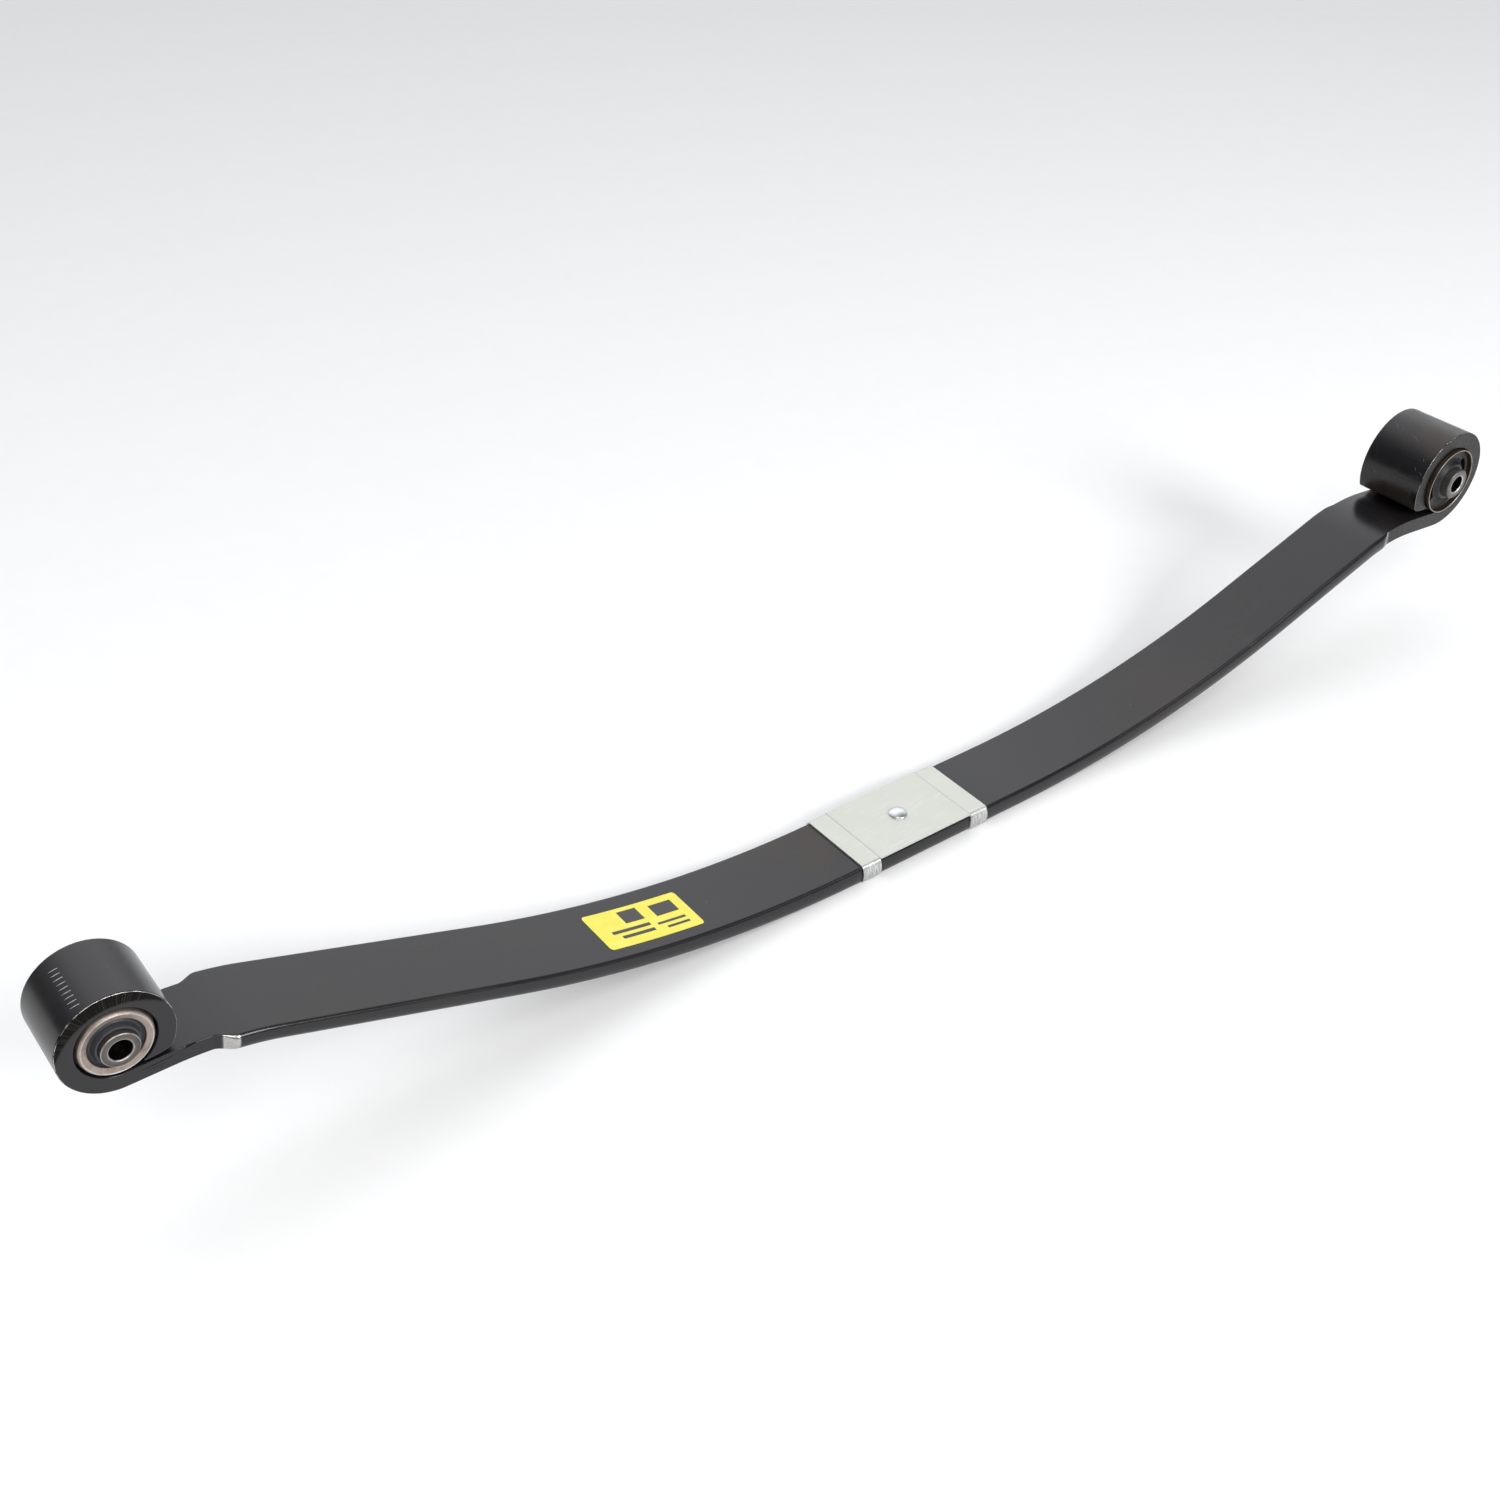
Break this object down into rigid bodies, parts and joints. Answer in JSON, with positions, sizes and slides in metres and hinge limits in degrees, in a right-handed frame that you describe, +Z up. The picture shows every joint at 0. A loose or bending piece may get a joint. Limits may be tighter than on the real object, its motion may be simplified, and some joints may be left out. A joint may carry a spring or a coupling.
{
  "type": "leaf spring",
  "caption": "Single-leaf vehicle spring with rolled eyes, rubber-bonded eye bushes, a clipped seat liner and a centre dowel.",
  "frame": {"origin": "middle of the leaf's top face at the axle seat, on the centre dowel's axis", "axes": "+X along the leaf towards the front eye (the larger one, with the voided bush), +Y across the leaf, +Z up, the side that the eyes are rolled to"},
  "size_m": [1.3796, 0.084, 0.196],
  "materials": {
    "painted_spring_steel": "satin black dipped paint over spring steel, slightly smeared",
    "zinc_sheet": "pale passivated zinc sheet, crinkled at the folds",
    "zinc_dowel": "bright zinc plate",
    "yellow_label": "matt yellow film with plain black marks",
    "rear_sleeve_steel": "bare drawn steel, brownish",
    "rear_bush_rubber": "matt moulded rubber",
    "inner_sleeve_steel": "dark oiled steel with bright turned ends",
    "front_sleeve_steel": "thin bare steel edge, tan",
    "front_bush_rubber": "matt moulded rubber",
    "front_inner_sleeve_steel": "dark grey steel with bright turned ends"
  },
  "bodies": {
    "leaf": {"main_leaf": "painted_spring_steel", "liner_plate": "zinc_sheet", "centre_dowel": "zinc_dowel", "weight_label": "yellow_label"},
    "front_eye": {"front_outer_sleeve": "front_sleeve_steel", "front_rubber": "front_bush_rubber"},
    "front_bolt_sleeve": {"front_inner_sleeve": "front_inner_sleeve_steel"},
    "rear_eye": {"rear_outer_sleeve": "rear_sleeve_steel", "rear_rubber": "rear_bush_rubber"},
    "rear_bolt_sleeve": {"rear_inner_sleeve": "inner_sleeve_steel"}
  },
  "joints": [
    {"name": "front_arm_flex", "type": "hinge", "parent": "leaf", "child": "front_eye", "pos_m": [0.069, 0, -0.00785], "axis": [0, 1, 0], "range_deg": [0, 9], "stiffness_Nm_per_rad": 20000, "deforming": ["main_leaf", "weight_label"]},
    {"name": "rear_arm_flex", "type": "hinge", "parent": "leaf", "child": "rear_eye", "pos_m": [-0.069, 0, -0.00785], "axis": [0, -1, 0], "range_deg": [0, 12], "stiffness_Nm_per_rad": 20000, "deforming": ["main_leaf", "weight_label"]},
    {"name": "front_bush_twist", "type": "hinge", "parent": "front_eye", "child": "front_bolt_sleeve", "pos_m": [0.65372, 0, 0.12777], "axis": [0, 1, 0], "range_deg": [-20, 20], "stiffness_Nm_per_rad": 90},
    {"name": "rear_bush_twist", "type": "hinge", "parent": "rear_eye", "child": "rear_bolt_sleeve", "pos_m": [-0.64163, 0, 0.1438], "axis": [0, 1, 0], "range_deg": [-25, 25], "stiffness_Nm_per_rad": 70}
  ]
}
